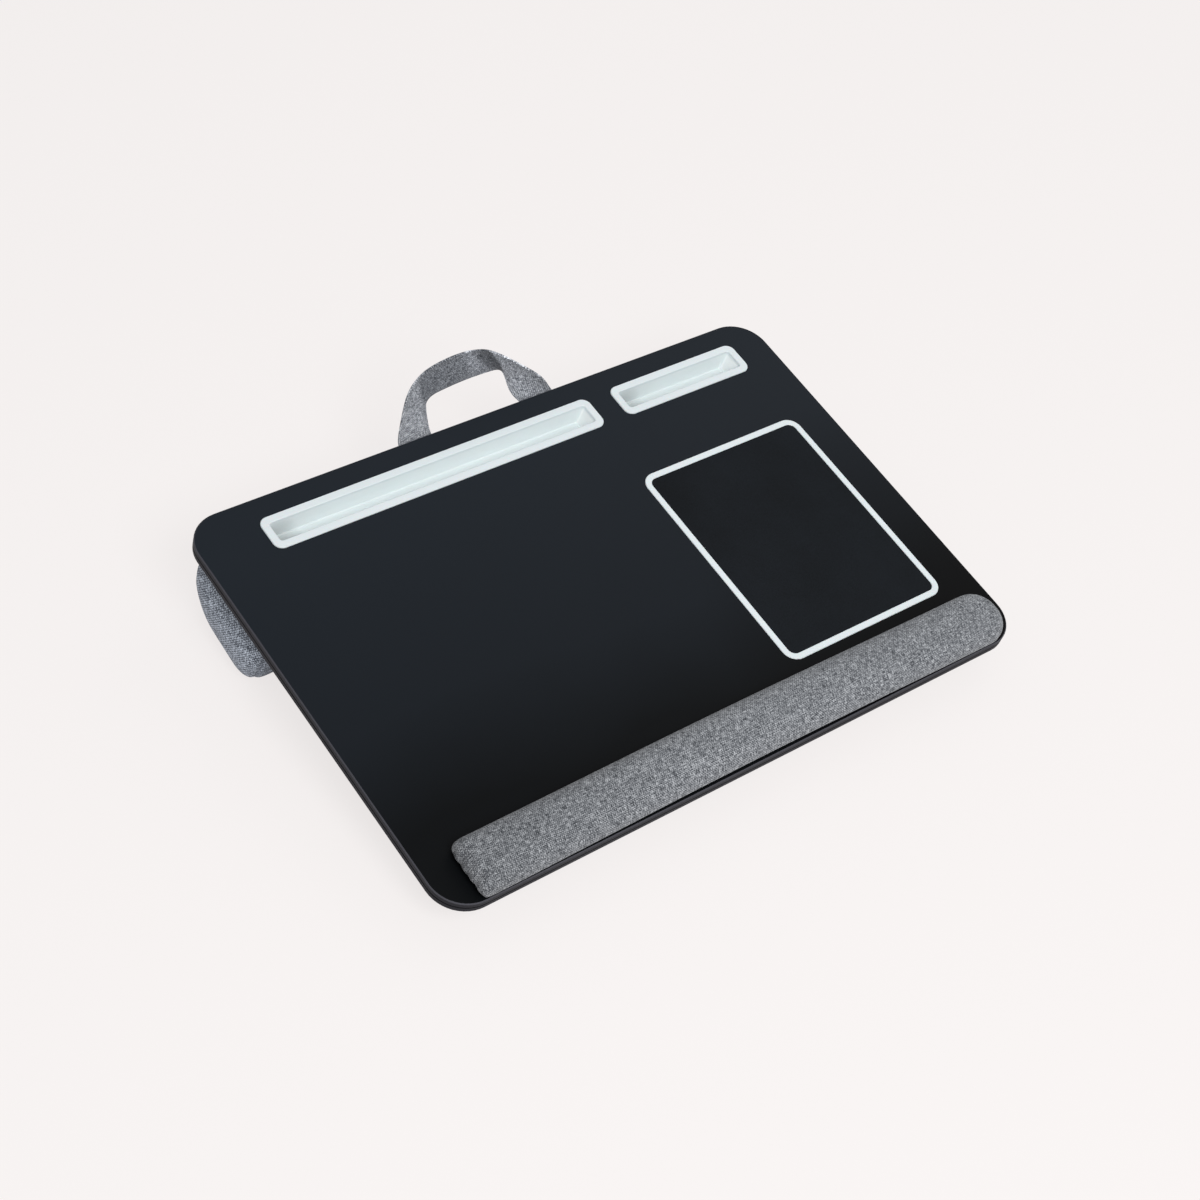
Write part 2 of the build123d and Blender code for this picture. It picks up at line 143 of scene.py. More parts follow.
class Nodes:  # a short way to add and link shader nodes
    def __init__(self, name):
        self.material = bpy.data.materials.new(name)
        self.material.use_nodes = True
        self.tree = self.material.node_tree
        self.shader = self.tree.nodes["Principled BSDF"]

    def add(self, kind, **values):
        node = self.tree.nodes.new(kind)
        for key, value in values.items():
            setattr(node, key, value)
        return node

    def link(self, source, target):
        self.tree.links.new(source, target)

    def feed(self, sockets, values):  # numbers and colours are set, other nodes' outputs are linked
        for socket, value in zip(sockets, values):
            if isinstance(value, (int, float)):
                socket.default_value = value
            elif isinstance(value, tuple):
                socket.default_value = (*value, 1)
            else:
                self.link(value, socket)

    def calc(self, operation, *values):
        node = self.add("ShaderNodeMath", operation=operation)
        self.feed(node.inputs, values)
        return node.outputs[0]

    def times(self, first, second):
        return self.calc("MULTIPLY", first, second)

    def plus(self, first, second):
        return self.calc("ADD", first, second)

    def minus(self, first, second):
        return self.calc("SUBTRACT", first, second)

    def over(self, first, second):
        return self.calc("DIVIDE", first, second)

    def scaled(self, value, factor, offset):  # one value scaled, then shifted
        return self.calc("MULTIPLY_ADD", value, factor, offset)

    def measured(self, operation, vector, other):  # a dot product or a distance
        node = self.add("ShaderNodeVectorMath", operation=operation)
        self.link(vector, node.inputs[0])
        node.inputs[1].default_value = other
        return node.outputs["Value"]

    def split(self, vector):  # the three parts of a place or a direction
        node = self.add("ShaderNodeSeparateXYZ")
        self.link(vector, node.inputs[0])
        return node.outputs

    def objectPlace(self):
        return self.add("ShaderNodeTexCoord").outputs["Object"]

    def facing(self):
        return self.add("ShaderNodeTexCoord").outputs["Normal"]

    def noise(self, vector, scale, detail=2.0, roughness=0.5):
        node = self.add("ShaderNodeTexNoise")
        node.inputs["Scale"].default_value = scale
        node.inputs["Detail"].default_value = detail
        node.inputs["Roughness"].default_value = roughness
        self.link(vector, node.inputs["Vector"])
        return node.outputs["Fac"]

    def stretched(self, vector, scale):
        node = self.add("ShaderNodeMapping", vector_type="POINT")
        node.inputs["Scale"].default_value = scale
        self.link(vector, node.inputs["Vector"])
        return node.outputs[0]

    def streaks(self, vector, scale, detail):  # noise with a scale of its own each way
        return self.noise(self.stretched(vector, scale), 1.0, detail)

    def ramp(self, factor, stops):
        node = self.add("ShaderNodeValToRGB")
        while len(node.color_ramp.elements) < len(stops):
            node.color_ramp.elements.new(0.5)
        for element, (place, colour) in zip(node.color_ramp.elements, stops):
            element.position = place
            element.color = (*colour, 1)
        self.link(factor, node.inputs["Fac"])
        return node.outputs["Color"]

    def levels(self, factor, *stops):  # a ramp of greys
        return self.ramp(factor, [(place, (level,) * 3) for place, level in stops])

    def mix(self, factor, first, second, blend="MIX"):
        node = self.add("ShaderNodeMix", data_type="RGBA", blend_type=blend)
        self.feed((node.inputs[0], node.inputs[6], node.inputs[7]), (factor, first, second))
        return node.outputs[2]

    def tinted(self, colour, tint):
        return self.mix(1.0, colour, tint, "MULTIPLY")

    def bump(self, height, distance, strength):
        node = self.add("ShaderNodeBump")
        node.inputs["Distance"].default_value = distance
        node.inputs["Strength"].default_value = strength
        self.link(height, node.inputs["Height"])
        self.link(node.outputs[0], self.shader.inputs["Normal"])

    def paint(self, colour):
        self.link(colour, self.shader.inputs["Base Color"])

    def roughen(self, roughness):
        self.link(roughness, self.shader.inputs["Roughness"])

    def finish(self, **values):
        for key, value in values.items():
            self.shader.inputs[key].default_value = value
        return self.material


def rgb(red, green, blue):  # a colour as seen on screen, made linear
    def linear(value):
        share = value / 255
        return share / 12.92 if share <= 0.04045 else ((share + 0.055) / 1.055) ** 2.4
    return tuple(linear(value) for value in (red, green, blue))


wovenGrey = {  # the heathered weave of all the cloth parts
    "thread": 0.56 * mm,
    "slub": 4.8 * mm,
    "patch": 2.0 * mm,
    "knot": 1.0 * mm,
    "cloud": 14 * mm,
    "yarnShare": 0.92,
    "cloudShare": 0.08,
    "dark": rgb(58, 61, 66),
    "middle": rgb(112, 115, 120),
    "light": rgb(186, 189, 193),
    "knotRelief": 0.5,
    "yarnRelief": 1.1,
    "bumpDepth": 0.30 * mm,
    "roughness": 0.92,
    "sheen": 0.10,
}
restCloth = {
    "tint": (0.92, 0.92, 0.92),
    "coarseness": 1.0,
    "regular": 0.07,
    # painted shade: the cloth darkens towards the rest's left end
    "shadeLeftFrom": -256 * mm,
    "shadeLeftReach": 190 * mm,
    "shadeLeftLeast": 0.80,
}
strapCloth = {
    "tint": (1.85, 1.85, 1.85),
    "coarseness": 1.0,
    "regular": 0.10,
}
cushionCloth = {
    "tint": (1.28, 1.36, 1.48),
    "coarseness": 1.2,
    "regular": 0.12,
}
strapBand = {  # painted shade and highlight of the folds along the strap, tabs and all, and its sewn lines
    "length": 221.5 * mm,
    "slantSpan": (85 * mm, 135 * mm),
    "slants": (-0.54, 0.42),
    # painted shade on the inner band between the folds, with painted highlight patches
    "stops": [
        (0.00, rgb(224, 224, 224)),
        (0.318, rgb(224, 224, 226)),
        (0.336, rgb(176, 177, 180)),
        (0.45, rgb(184, 185, 188)),
        (0.53, rgb(187, 188, 191)),
        (0.575, rgb(244, 244, 247)),
        (0.62, rgb(154, 155, 158)),
        (0.664, rgb(142, 143, 146)),
        (0.684, rgb(288, 288, 290)),
        (0.78, rgb(252, 252, 254)),
        (0.86, rgb(228, 228, 230)),
        (1.00, rgb(232, 232, 234)),
    ],
    "seam": 12.6 * mm,
    "seamGap": 2.0 * mm,
    "seamWidth": 0.8 * mm,
    "stitch": 2.4 * mm,
    "grooveColour": rgb(84, 87, 92),
    "grooveShare": 0.28,
    "grooveRelief": 1.2,
    "threadColour": rgb(176, 178, 182),
    "threadShare": 0.30,
}


def addWeave(w, uv, cloth):  # colour and height of the weave, on a UV map in metres
    across = 1 / (wovenGrey["thread"] * cloth["coarseness"])
    along = 1 / (wovenGrey["slub"] * cloth["coarseness"])
    patch = 1 / (wovenGrey["patch"] * cloth["coarseness"])
    knot = 1 / (wovenGrey["knot"] * cloth["coarseness"])
    cloud = 1 / wovenGrey["cloud"]
    warp = w.streaks(uv, (along, across, 1), 1.0)
    weft = w.streaks(uv, (across, along, 1), 1.0)
    broad = w.streaks(uv, (cloud, cloud, 1), 2.0)
    patches = w.levels(w.streaks(uv, (patch, patch, 1), 1.0), (0.40, 0.32), (0.60, 0.68))
    yarn = w.mix(patches, warp, weft)  # now the yarns one way lie on top, now the others
    knots = w.split(w.stretched(uv, (knot, knot, 1)))
    over = w.calc("SINE", w.times(knots[0], math.pi))
    under = w.calc("SINE", w.times(knots[1], math.pi))
    crossing = w.times(over, under)  # the regular over and under of the weave
    tone = w.plus(w.times(yarn, wovenGrey["yarnShare"]), w.times(broad, wovenGrey["cloudShare"]))
    tone = w.plus(tone, w.times(crossing, cloth["regular"]))
    colour = w.ramp(tone, [
        (0.38, wovenGrey["dark"]),
        (0.50, wovenGrey["middle"]),
        (0.63, wovenGrey["light"]),
    ])
    height = w.plus(w.times(crossing, wovenGrey["knotRelief"]), w.times(yarn, wovenGrey["yarnRelief"]))
    return w.tinted(colour, cloth["tint"]), height


def addPaintedShadeLeft(w, colour, cloth):  # painted shade: darker towards the left end
    east = w.split(w.objectPlace())[0]
    share = w.scaled(east, 1 / cloth["shadeLeftReach"], -cloth["shadeLeftFrom"] / cloth["shadeLeftReach"])
    return w.tinted(colour, w.levels(share, (0.0, cloth["shadeLeftLeast"]), (1.0, 1)))


def addBand(w, uv, colour, height, band):  # painted shade and highlight of the slanting folds, and two sewn lines beside each edge
    sides = w.split(uv)
    slant = w.add("ShaderNodeMapRange")  # one way at the left and the other at the right
    w.feed(list(slant.inputs)[:5], (sides[0], *band["slantSpan"], *band["slants"]))
    shadeAlong = w.plus(sides[0], w.times(slant.outputs[0], sides[1]))
    # painted shade and highlight along the band
    colour = w.tinted(colour, w.ramp(w.over(shadeAlong, band["length"]), band["stops"]))
    fromRow = w.minus(w.calc("ABSOLUTE", sides[1]), band["seam"])
    fromLine = w.calc("ABSOLUTE", w.minus(w.calc("ABSOLUTE", fromRow), band["seamGap"] / 2))
    groove = w.levels(w.over(fromLine, band["seamWidth"]), (0.35, 1), (1.0, 0))
    wave = w.calc("SINE", w.times(sides[0], 2 * math.pi / band["stitch"]))
    thread = w.times(groove, w.levels(wave, (0.05, 0), (0.2, 1)))
    colour = w.mix(w.times(groove, band["grooveShare"]), colour, band["grooveColour"])
    colour = w.mix(w.times(thread, band["threadShare"]), colour, band["threadColour"])
    return colour, w.plus(w.minus(height, w.times(groove, band["grooveRelief"])), thread)


def makeWoven(name, cloth, band=None):
    w = Nodes(name)
    uv = w.add("ShaderNodeUVMap").outputs[0]
    colour, height = addWeave(w, uv, cloth)
    # painted shade towards the left end, for cloths that carry it
    if "shadeLeftReach" in cloth:
        colour = addPaintedShadeLeft(w, colour, cloth)
    if band:
        colour, height = addBand(w, uv, colour, height, band)
    w.paint(colour)
    w.bump(height, wovenGrey["bumpDepth"] * cloth["coarseness"], 0.6)
    return w.finish(**{
        "Roughness": wovenGrey["roughness"],
        "Specular IOR Level": 0.2,
        "Sheen Weight": wovenGrey["sheen"],
        "Sheen Roughness": 0.5,
    })


def deckHeight(maker):  # distance above the deck's top face, negative below it
    height = maker.measured("DOT_PRODUCT", maker.objectPlace(), deckUp)
    return maker.minus(height, Vector(deck["centre"]).dot(deckUp))


# painted shade and reflection on the top: darker at the front, paler to the rear, darker still in a
# pool near the front right
laminate = {
    "front": rgb(9, 11, 13),
    "middle": rgb(24, 28, 33),
    "rear": rgb(30, 35, 41),
    "frontEnd": -150 * mm,
    "rearEnd": 130 * mm,
    "cloudScale": 6.0,
    "cloudShare": 0.24,
    "shadePoolPlace": (0.25, -0.16, 0.04),
    "shadePoolReach": 0.22,
    "shadePoolLeast": 0.30,
    "roughness": 0.42,
    "roughnessSpan": 0.10,
    "grainScale": 1800.0,
}
edgeBand = {
    "pale": rgb(44, 44, 49),
    "dark": rgb(33, 33, 38),
    "streaks": (60, 60, 900),
    "joint": rgb(12, 12, 15),
    # painted highlight for the top arris
    "arrisHighlight": rgb(70, 70, 76),
}


def makeDeckBlack():  # satin laminate above with painted shade and reflection, charcoal banding round the edge with a painted highlight along its top
    d = Nodes("deckBlack")
    place = d.objectPlace()
    level = d.calc("ABSOLUTE", d.measured("DOT_PRODUCT", d.facing(), deckUp))
    onTop = d.levels(level, (0.85, 0), (0.95, 1))
    # painted shade and reflection: the top darkens from rear to front, with random clouds
    run = laminate["rearEnd"] - laminate["frontEnd"]
    back = d.scaled(d.split(place)[1], 1 / run, -laminate["frontEnd"] / run)
    clouds = d.noise(place, laminate["cloudScale"], 3.0)
    shade = d.plus(back, d.scaled(clouds, laminate["cloudShare"], -laminate["cloudShare"] / 2))
    top = d.ramp(shade, [(0.0, laminate["front"]), (0.32, laminate["middle"]), (1.0, laminate["rear"])])
    # painted shade: a dark pool near the front right
    shadePool = d.over(d.measured("DISTANCE", place, laminate["shadePoolPlace"]), laminate["shadePoolReach"])
    top = d.tinted(top, d.levels(shadePool, (0.15, laminate["shadePoolLeast"]), (1.0, 1)))
    side = d.mix(d.streaks(place, edgeBand["streaks"], 3.0), edgeBand["dark"], edgeBand["pale"])
    depth = d.over(deckHeight(d), -deck["thickness"])
    joint = d.levels(depth, (0.40, 0), (0.47, 1), (0.53, 1), (0.60, 0))
    side = d.mix(joint, side, edgeBand["joint"])
    # painted highlight along the top arris of the edge
    side = d.mix(d.levels(depth, (0.07, 1), (0.12, 0)), side, edgeBand["arrisHighlight"])
    d.paint(d.mix(onTop, side, top))
    d.roughen(d.scaled(clouds, laminate["roughnessSpan"], laminate["roughness"]))
    d.bump(d.noise(place, laminate["grainScale"]), 0.03 * mm, 0.5)
    return d.finish(**{"Specular IOR Level": 0.05})


plastic = {
    "rimDark": rgb(211, 220, 223),
    "rimPale": rgb(220, 227, 230),
    "rimDrop": 3 * mm,
    # painted light: the pockets are paler than the rim
    "pocketDark": rgb(221, 230, 231),
    "pocketPale": rgb(236, 242, 243),
    # painted light on the right end walls
    "litEndWall": rgb(252, 255, 255),
    "streaks": (5, 60, 60),
    "roughness": 0.34,
    "roughnessSpan": 0.14,
    "grainScale": 900.0,
}
trayShade = {  # painted shade: the pockets are greyer at the left ends of their floors
    "leftEnds": (-213 * mm, 124 * mm),
    "row": 145 * mm,
    "depth": 17.5 * mm,
    "reach": 28 * mm,
    "least": 0.42,
}


def makePlastic():  # smooth moulded white plastic, with painted light and shade in the pockets
    p = Nodes("whitePlastic")
    place = p.objectPlace()
    shade = p.streaks(place, plastic["streaks"], 2.0)
    rim = p.mix(shade, plastic["rimDark"], plastic["rimPale"])
    pocket = p.mix(shade, plastic["pocketDark"], plastic["pocketPale"])
    litEndWall = p.levels(p.times(p.split(p.facing())[0], -1), (0.6, 0), (0.9, 1))
    pocket = p.mix(litEndWall, pocket, plastic["litEndWall"])  # painted light: the right end walls are paler
    # painted shade in the left end of each pocket
    for end in trayShade["leftEnds"]:
        corner = deckPoint(end, trayShade["row"], -trayShade["depth"])
        away = p.over(p.measured("DISTANCE", place, corner), trayShade["reach"])
        pocket = p.tinted(pocket, p.levels(away, (0.1, trayShade["least"]), (1.0, 1)))
    # the sunk pockets take the paler colours: painted light
    sunk = p.levels(p.over(deckHeight(p), -plastic["rimDrop"]), (0.1, 0), (0.9, 1))
    p.paint(p.mix(sunk, rim, pocket))
    fine = p.noise(place, plastic["grainScale"])
    p.roughen(p.scaled(fine, plastic["roughnessSpan"], plastic["roughness"]))
    p.bump(fine, 0.02 * mm, 0.4)
    return p.finish(**{
        "Specular IOR Level": 0.45,
        "Subsurface Weight": 0.04,
        "Subsurface Scale": 2 * mm,
    })


matCloth = {
    "dark": rgb(14, 16, 18),
    "pale": rgb(27, 31, 36),
    "grainScale": 1400.0,
    "grainShare": 0.7,
    "patchScale": 14.0,
    "patchShare": 0.3,
}


def makeMatSurface():  # fine black cloth of the mouse mat
    m = Nodes("matSurface")
    place = m.objectPlace()
    fine = m.noise(place, matCloth["grainScale"], 3.0, 0.65)
    patches = m.noise(place, matCloth["patchScale"], 3.0)
    tone = m.plus(m.times(fine, matCloth["grainShare"]), m.times(patches, matCloth["patchShare"]))
    m.paint(m.ramp(tone, [(0.35, matCloth["dark"]), (0.65, matCloth["pale"])]))
    m.bump(fine, 0.12 * mm, 0.6)
    return m.finish(**{"Roughness": 0.9, "Specular IOR Level": 0.10})


lining = {
    "dark": rgb(38, 40, 43),
    "pale": rgb(66, 69, 73),
    "fibreScale": 700.0,
    "dimpleScale": 420.0,
}


def makeLining():  # dark non-woven cloth under the deck
    c = Nodes("liningCloth")
    place = c.objectPlace()
    fibres = c.noise(place, lining["fibreScale"], 4.0, 0.7)
    dimples = c.add("ShaderNodeTexVoronoi", feature="F1")
    dimples.inputs["Scale"].default_value = lining["dimpleScale"]
    c.link(place, dimples.inputs["Vector"])
    c.paint(c.ramp(fibres, [(0.3, lining["dark"]), (0.7, lining["pale"])]))
    c.bump(c.plus(fibres, dimples.outputs["Distance"]), 0.15 * mm, 0.6)
    return c.finish(**{"Roughness": 0.95, "Specular IOR Level": 0.15})


bonding = {
    "dark": rgb(40, 40, 41),
    "pale": rgb(58, 58, 58),
    "lumpScale": 300.0,
}


def makeBonding():  # thin strip that holds the wrist rest
    b = Nodes("bondingStrip")
    lumps = b.noise(b.objectPlace(), bonding["lumpScale"], 3.0)
    b.paint(b.ramp(lumps, [(0.3, bonding["dark"]), (0.7, bonding["pale"])]))
    b.bump(lumps, 0.1 * mm, 0.5)
    return b.finish(Roughness=0.55)


print("materials")
deckBlack = makeDeckBlack()
whitePlastic = makePlastic()
matSurface = makeMatSurface()
liningCloth = makeLining()
bondingStrip = makeBonding()
greyWoven = makeWoven("greyWoven", restCloth)
strapWoven = makeWoven("strapWoven", strapCloth, strapBand)
cushionWoven = makeWoven("cushionWoven", cushionCloth)

cadFinishes = {
    "deck_top_panel": deckBlack,
    "deck_base_panel": deckBlack,
    "tablet_slot_tray": whitePlastic,
    "phone_slot_tray": whitePlastic,
    "mouse_mat_rim": whitePlastic,
    "mouse_mat": matSurface,
    "underside_lining": liningCloth,
    "wrist_rest_adhesive": bondingStrip,
}
for nodeName, finish in cadFinishes.items():
    giveMaterial(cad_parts[nodeName], finish)


# Soft pieces: a bevelled block, remeshed, blown up as cloth and held to its place

def remeshed(piece, voxel):
    modified(piece, "REMESH", mode="VOXEL", voxel_size=voxel)


def smoothed(piece, rounds):
    modified(piece, "SMOOTH", factor=0.5, iterations=rounds)


def subdivided(piece, levels):
    modified(piece, "SUBSURF", levels=levels, render_levels=levels)


swelling = {  # the cloth that is blown up
    "quality": 6,
    "mass": 0.25,
    "tension_stiffness": 12,
    "compression_stiffness": 6,
    "shear_stiffness": 4,
    "bending_stiffness": 0.6,
    "use_pressure": True,
}
swellSteps = 20


def blowUp(piece, pressure, cap, held):  # held(place) is how far a point may move, as a share of cap
    start = [vertex.co.copy() for vertex in piece.data.vertices]
    pins = piece.vertex_groups.new(name="pins")
    for vertex in piece.data.vertices:
        pins.add([vertex.index], 1 - held(vertex.co), "REPLACE")
    cloth = piece.modifiers.new("cloth", "CLOTH")
    for key, value in swelling.items():
        setattr(cloth.settings, key, value)
    cloth.settings.uniform_pressure_force = pressure
    cloth.settings.vertex_group_mass = "pins"
    cloth.settings.effector_weights.gravity = 0
    cloth.collision_settings.use_collision = False
    cloth.collision_settings.use_self_collision = False
    cloth.point_cache.frame_start = 1
    cloth.point_cache.frame_end = swellSteps
    for step in range(1, swellSteps + 1):
        bpy.context.scene.frame_set(step)
    applyModifiers(piece)
    bpy.context.scene.frame_set(1)
    piece.vertex_groups.clear()
    for vertex, before in zip(piece.data.vertices, start):
        move = vertex.co - before
        limit = cap * held(before)
        if move.length > limit:
            vertex.co = before + move * (limit / max(move.length, 1e-9))
    piece.data.update()


def unwrapByFacing(piece):  # each face laid flat along the axis it faces, in metres
    onlyThis(piece)
    if not piece.data.uv_layers:
        piece.data.uv_layers.new(name="UVMap")
    layer = piece.data.uv_layers.active.data
    for face in piece.data.polygons:
        facing = [abs(part) for part in face.normal]
        axis = facing.index(max(facing))
        keep = [(1, 2), (0, 2), (0, 1)][axis]
        for loop in face.loop_indices:
            place = piece.data.vertices[piece.data.loops[loop].vertex_index].co
            layer[loop].uv = (place[keep[0]], place[keep[1]])


def shadeSmooth(piece):
    onlyThis(piece)
    bpy.ops.object.shade_smooth()


wristRest = {
    "left": -256.0 * mm,
    "right": 267 * mm,
    "row": -164.2 * mm,
    "width": 49.5 * mm,
    "height": 20.8 * mm,
    "foot": 0.9 * mm,
    "shoulder": 13.5 * mm,
    "footRound": 2.4 * mm,
    "leftRound": 6.5 * mm,
    "rightRound": 22 * mm,
    "shrink": 0.7 * mm,
    "voxel": 3.6 * mm,
    "pressure": 3.0,
    "cap": 1.8 * mm,
    "gluedHeight": 2 * mm,
    "freeHeight": 6 * mm,
    "bow": 1.1 * mm,
    "bowTurn": 0.9 * math.pi,
    "bowShift": 0.35,
}
gathering = {  # the left end: a rolled rim, with creases that run into it
    "rim": 5 * mm,
    "rimGroove": 0.9 * mm,
    "rimGrooveWidth": 1.3 * mm,
    "rimFrom": 5 * mm,
    "reach": 12 * mm,
    "slant": 0.35,
    "depth": 1.3 * mm,
    "drop": 0.91 * mm,
    "dropFrom": 6 * mm,
}
gatheringFolds = [  # place across the rest, half width, depth as a share
    (-11.5 * mm, 3.2 * mm, 1.0),
    (-3.0 * mm, 2.6 * mm, 0.6),
    (7.0 * mm, 3.0 * mm, 0.8),
    (16.5 * mm, 2.4 * mm, 0.7),
]


def gatherEnd(rest, w, g):
    for vertex in rest.data.vertices:
        place = vertex.co
        inward = place.x - w["left"]
        across = place.y - w["row"]
        near = max(1 - inward / g["reach"], 0)
        for middle, half, share in gatheringFolds:
            crease = share * near * bell((across - middle - g["slant"] * inward) / half)
            place.x += g["depth"] * crease
            if place.z > g["dropFrom"]:
                place.z -= g["drop"] * crease
        groove = bell((inward - g["rim"]) / g["rimGrooveWidth"])
        place.z -= g["rimGroove"] * groove * max(place.z - g["rimFrom"], 0) / w["height"]


def bowAlong(rest, w):  # a slight bow along the roll
    for vertex in rest.data.vertices:
        along = vertex.co.x / w["right"]
        vertex.co.y += w["bow"] * (math.cos(along * w["bowTurn"]) - w["bowShift"])


def makeWristRest():
    w = wristRest
    length = w["right"] - w["left"] - 2 * w["shrink"]
    width = w["width"] - 2 * w["shrink"]
    height = w["height"] - w["foot"] - w["shrink"]
    middle = ((w["left"] + w["right"]) / 2, w["row"], w["foot"] + height / 2)
    rest = addBlock("wrist_rest", middle, (length, width, height))

    def upright(a, b, side):  # an upright corner edge of one end
        return abs(a.x - b.x) < mm and abs(a.y - b.y) < mm and (a.x - middle[0]) * side > 0

    bevelEdges(rest, lambda a, b: upright(a, b, 1), w["rightRound"], 8)
    bevelEdges(rest, lambda a, b: upright(a, b, -1), w["leftRound"], 4)
    bevelEdges(rest, lambda a, b: min(a.z, b.z) > middle[2], w["shoulder"], 7)
    bevelEdges(rest, lambda a, b: max(a.z, b.z) < w["foot"] + mm / 2, w["footRound"], 3)
    remeshed(rest, w["voxel"])

    def held(place):  # the glued foot stays, the crest swells most
        return clamped((place.z - w["foot"] - w["gluedHeight"]) / w["freeHeight"])

    blowUp(rest, w["pressure"], w["cap"], held)
    smoothed(rest, 4)
    subdivided(rest, 2)
    gatherEnd(rest, w, gathering)
    bowAlong(rest, w)
    unwrapByFacing(rest)
    layOnDeck(rest)
    shadeSmooth(rest)
    giveMaterial(rest, greyWoven)
    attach(rest, "tray")
    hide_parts("wrist_rest_cover", "wrist_rest_foam")


print("wrist rest")
makeWristRest()

rearCushion = {
    "name": "rear_cushion",
    "halfLength": 278 * mm,
    "front": 62 * mm,
    "rear": 182 * mm,
    "frontSlope": 23 * mm,
    "rearSlope": 0.0,
    "frontRound": 12 * mm,
    "rearRound": 38 * mm,
    "baseRound": 14 * mm,
    "tuck": 12 * mm,
    "tuckReach": 30 * mm,
    "crown": 4.8 * mm,
    "crownReach": 30 * mm,
    "pinch": 8 * mm,
    "shrink": 1.0 * mm,
    "voxel": 6.2 * mm,
    "pressure": 4.0,
    "cap": 4.5 * mm,
    "seamDepth": 1.4 * mm,
    "replaces": ("rear_cushion_cover", "rear_cushion_filling"),
}
frontCushion = {
    "name": "front_cushion",
    "halfLength": 258 * mm,
    "front": -168.5 * mm,
    "rear": -84.5 * mm,
    "frontSlope": 0.0,
    "rearSlope": 6 * mm,
    "frontRound": 26 * mm,
    "rearRound": 14 * mm,
    "baseRound": 9 * mm,
    "tuck": 3.5 * mm,
    "tuckReach": 12 * mm,
    "crown": 2.5 * mm,
    "crownReach": 20 * mm,
    "pinch": 2.5 * mm,
    "shrink": 1.5 * mm,
    "voxel": 6.0 * mm,
    "pressure": 4.0,
    "cap": 4.5 * mm,
    "seamDepth": 1.0 * mm,
    "replaces": ("front_cushion_cover", "front_cushion_filling"),
}
cushionHold = {  # held still at the lining, and nearly still at the floor
    "liningReach": 12 * mm,
    "floorGap": 1 * mm,
    "floorReach": 10 * mm,
    "footShare": 0.25,
}
cushionEnds = {  # how the ends swell, and how their rear corners are rounded off
    "roundness": 0.6,
    "lowness": 1.05,
    "forwardness": 0.5,
    "pinchFrom": -0.35,
    "pinchSpan": 0.85,
    "pinchPower": 1.5,
    "pinchAtLining": 1.7,
}
cornerSeam = {
    "turn": 58,
    "width": 1.9 * mm,
}
trayPressing = {  # where the trays push down into the rear cushion
    "spans": [(-226 * mm, 90 * mm), (111 * mm, 247 * mm)],
    "halfWidth": 13 * mm,
    "depth": 20.6 * mm,
    "slope": 5 * mm,
}


def crownEnds(cushion, c, ends):  # both ends swell, most below half their height
    half = c["halfLength"] - c["shrink"]
    middle = (c["front"] + c["rear"]) / 2 + deck["centre"][1]
    deep = (c["rear"] - c["front"]) / 2
    for vertex in cushion.data.vertices:
        up = clamped(vertex.co.z / max(vertex.co.z + belowLining(vertex.co), mm))
        reach = clamped(1 - (half - abs(vertex.co.x)) / c["crownReach"])
        outward = Vector((vertex.normal.x, vertex.normal.y, 0))
        if reach > 0 and outward.length > 0.2:
            backward = (vertex.co.y - middle) / deep
            swell = math.sin(math.pi * up) ** ends["roundness"] * (ends["lowness"] - up) * reach ** 2
            push = c["crown"] * swell * (1 - ends["forwardness"] * backward)
            rearness = clamped((backward - ends["pinchFrom"]) / ends["pinchSpan"])
            edge = abs(2 * up - 1) ** ends["pinchPower"] * (ends["pinchAtLining"] if up > 0.5 else 1.0)
            pinch = c["pinch"] * edge * rearness * reach  # the rear corners are rounder
            vertex.co += outward.normalized() * (push - pinch)
    cushion.data.update()


def drawIn(cushion, c):  # drawn in where it is sewn to the lining
    half = c["halfLength"] - c["shrink"]
    middle = (c["front"] + c["rear"]) / 2
    for vertex in cushion.data.vertices:
        place = deckInverse @ vertex.co
        draw = max(1 + (place.z + underside) / c["tuckReach"], 0) ** 2 * c["tuck"]
        inX = half - abs(place.x)
        inY = (c["rear"] - c["front"]) / 2 - abs(place.y - middle)
        if inX < c["tuckReach"]:
            place.x -= math.copysign(draw * min(1 - inX / c["tuckReach"], 1), place.x)
        if inY < c["tuckReach"]:
            place.y -= math.copysign(draw * min(1 - inY / c["tuckReach"], 1), place.y - middle)
        vertex.co = deckMatrix @ place


def standOnFloor(cushion):
    for vertex in cushion.data.vertices:
        vertex.co.z = max(vertex.co.z, 0.0)


def meetLining(cushion):  # flat where it lies against the lining
    for vertex in cushion.data.vertices:
        place = deckInverse @ vertex.co
        if place.z > -underside - 0.4 * mm:
            place.z = -underside - 0.1 * mm
            vertex.co = deckMatrix @ place


def pressTrays(cushion, t):  # hollows under the two slot trays
    for vertex in cushion.data.vertices:
        place = deckInverse @ vertex.co
        beside = abs(place.y - deck["slotRow"]) - t["halfWidth"]
        for low, high in t["spans"]:
            away = max(beside, low - place.x, place.x - high)
            if away < t["slope"] and place.z > -t["depth"]:
                share = clamped(1 - away / t["slope"])
                place.z = min(place.z, place.z * (1 - share) - t["depth"] * share)
                vertex.co = deckMatrix @ place


def sewCorners(cushion, c, frontAt):  # a sunk seam down each front corner
    half = c["halfLength"] - c["shrink"] / 2
    radius = c["frontRound"]
    for vertex in cushion.data.vertices:
        toEnd = radius - (half - abs(vertex.co.x))
        toFront = radius - (vertex.co.y - frontAt(vertex.co.z))
        if toEnd <= 0 or toFront <= 0:
            continue
        aside = radius * abs(math.atan2(toFront, toEnd) - math.radians(cornerSeam["turn"]))
        outward = Vector((math.copysign(toEnd, vertex.co.x), -toFront, 0)).normalized()
        vertex.co -= outward * c["seamDepth"] * bell(aside / cornerSeam["width"])
    cushion.data.update()


